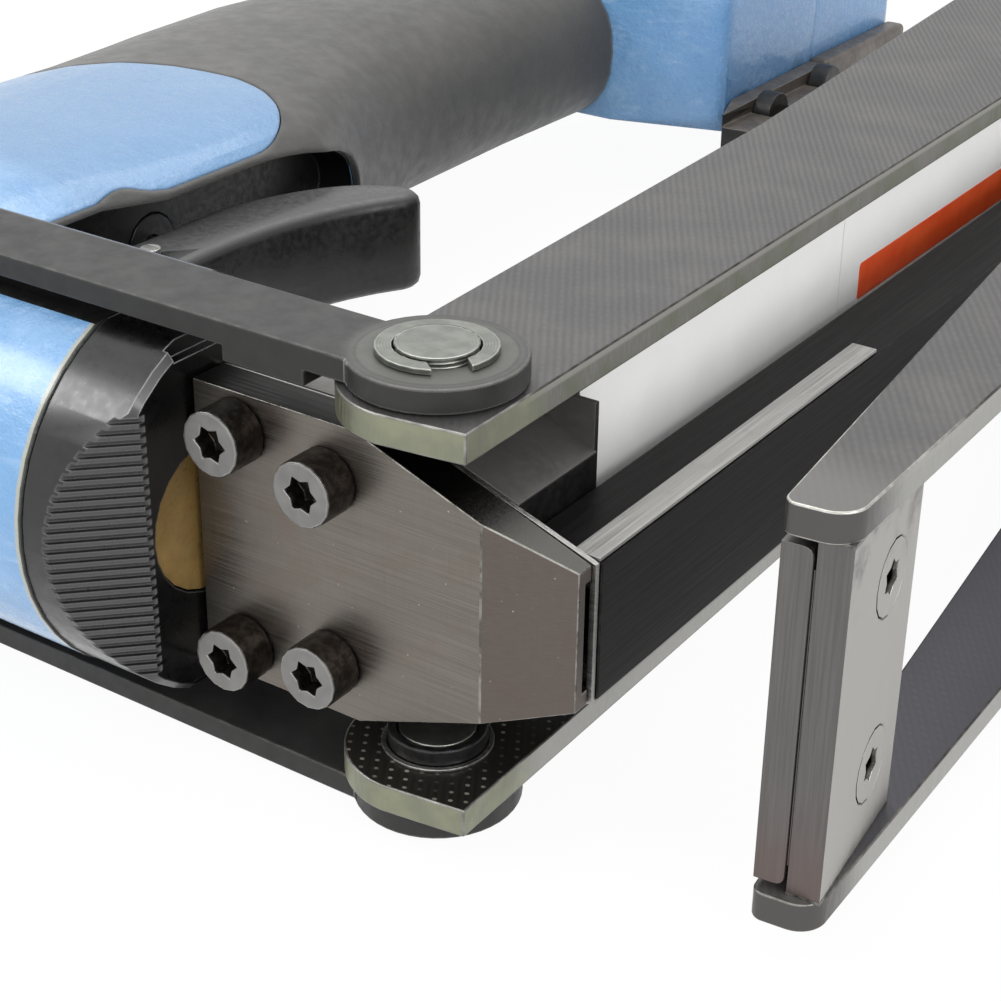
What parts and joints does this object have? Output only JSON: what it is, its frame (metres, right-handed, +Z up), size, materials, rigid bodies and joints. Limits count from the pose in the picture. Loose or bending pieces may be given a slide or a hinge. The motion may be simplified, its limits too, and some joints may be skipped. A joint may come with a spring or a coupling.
{
  "type": "pneumatic carton closing stapler",
  "caption": "Air driven plier stapler that closes carton flaps: cylinder and handle over a magazine, with a hinged anvil jaw pulled shut by two side bars.",
  "frame": {"origin": "centre of the lower face of the nose pin that the part stands on, lying on its right side", "axes": "+X down the tool in the driving direction, +Y back along the magazine and the jaw, +Z up, out of the left side of the tool"},
  "size_m": [0.3084, 0.3829, 0.076],
  "materials": {
    "blue_paint": "gloss painted casting",
    "grip_rubber": "matt moulded",
    "black_oxide": "satin black",
    "black_plastic": "satin",
    "dark_steel": "blackened, worn bright at the edges",
    "nose_steel": "ground, lightly stained",
    "bright_steel": "bright",
    "amber_plastic": "translucent amber",
    "spring_steel": "bright wire",
    "zinc_wire": "zinc coated"
  },
  "bodies": {
    "body": {"body_housing": "blue_paint", "cylinder_cap": "blue_paint", "grip_sleeve": "grip_rubber", "bottom_collar": "black_oxide", "nose_block": "black_oxide", "magazine_channel": "black_oxide", "rear_bracket": "black_oxide", "bracket_screw_1": "black_oxide", "bracket_screw_2": "black_oxide", "magazine_end": "black_plastic", "handle_end_cap": "black_plastic", "cap_screw_1": "dark_steel", "cap_screw_2": "dark_steel", "cap_screw_3": "dark_steel", "cap_screw_4": "dark_steel", "driver_guide": "dark_steel", "front_screw_1": "dark_steel", "front_screw_2": "dark_steel", "front_screw_3": "dark_steel", "front_screw_4": "dark_steel", "pivot_pin": "dark_steel", "pivot_nut": "dark_steel", "front_plate": "nose_steel", "driver_sleeve": "bright_steel", "staple_rail": "bright_steel", "track_strip_left": "bright_steel", "track_strip_right": "bright_steel", "air_inlet": "bright_steel", "trigger_pin": "bright_steel", "valve_body": "bright_steel", "bumper": "amber_plastic", "pusher_spring": "spring_steel", "staple_strip": "zinc_wire"},
    "jaw": {"jaw_plate_left": "dark_steel", "jaw_plate_right": "dark_steel", "jaw_web": "dark_steel", "anvil_insert": "dark_steel", "anvil_bar": "nose_steel", "anvil_screw_1": "dark_steel", "anvil_screw_2": "dark_steel", "nose_pin_left": "dark_steel", "nose_pin_right": "dark_steel", "nose_clip_left": "bright_steel", "nose_clip_right": "bright_steel", "nose_bush_left": "black_oxide", "nose_bush_right": "black_oxide"},
    "pull_yoke": {"pull_bar_left": "dark_steel", "pull_bar_right": "dark_steel", "crosshead": "black_oxide", "crosshead_screw_left": "dark_steel", "crosshead_screw_right": "dark_steel"},
    "clamp": {"clamp_piston": "bright_steel", "rod_nut": "dark_steel"},
    "trigger": {"trigger": "black_plastic"},
    "valve_stem": {"valve_stem": "bright_steel"},
    "driver": {"piston": "bright_steel", "driver_blade": "bright_steel"},
    "pusher": {"pusher": "dark_steel"}
  },
  "joints": [
    {"name": "jaw_hinge", "type": "hinge", "parent": "body", "child": "jaw", "pos_m": [-0.012, 0.29, 0.038], "axis": [0, 0, -1], "range_deg": [0, 5.45], "stiffness_Nm_per_rad": 30, "springref_deg": -8.59},
    {"name": "yoke_hinge", "type": "hinge", "parent": "jaw", "child": "pull_yoke", "pos_m": [0, 0, 0.038], "axis": [0, 0, -1], "range_deg": [-5.5, 0]},
    {"name": "clamp_slide", "type": "slide", "parent": "body", "child": "clamp", "axis": [-1, 0, 0], "range_m": [0, 0.0277]},
    {"name": "trigger_hinge", "type": "hinge", "parent": "body", "child": "trigger", "pos_m": [-0.104, 0.052, 0.038], "axis": [0, 0, 1], "range_deg": [0, 4.5], "stiffness_Nm_per_rad": 5, "springref_deg": -5.73},
    {"name": "valve_slide", "type": "slide", "parent": "body", "child": "valve_stem", "axis": [-1, 0, 0], "range_m": [0, 0.002]},
    {"name": "driver_slide", "type": "slide", "parent": "body", "child": "driver", "axis": [1, 0, 0], "range_m": [0, 0.011], "stiffness_N_per_m": 300, "springref_m": -0.02},
    {"name": "pusher_slide", "type": "slide", "parent": "body", "child": "pusher", "axis": [0, 1, 0], "range_m": [0, 0.09], "stiffness_N_per_m": 60, "springref_m": -0.1, "deforming": ["pusher_spring"]}
  ],
  "couplings": [
    {"joint": "yoke_hinge", "follows": "jaw_hinge", "ratio": -1},
    {"joint": "clamp_slide", "follows": "jaw_hinge", "m_per_rad": 0.29},
    {"joint": "valve_slide", "follows": "trigger_hinge", "m_per_rad": 0.024}
  ]
}
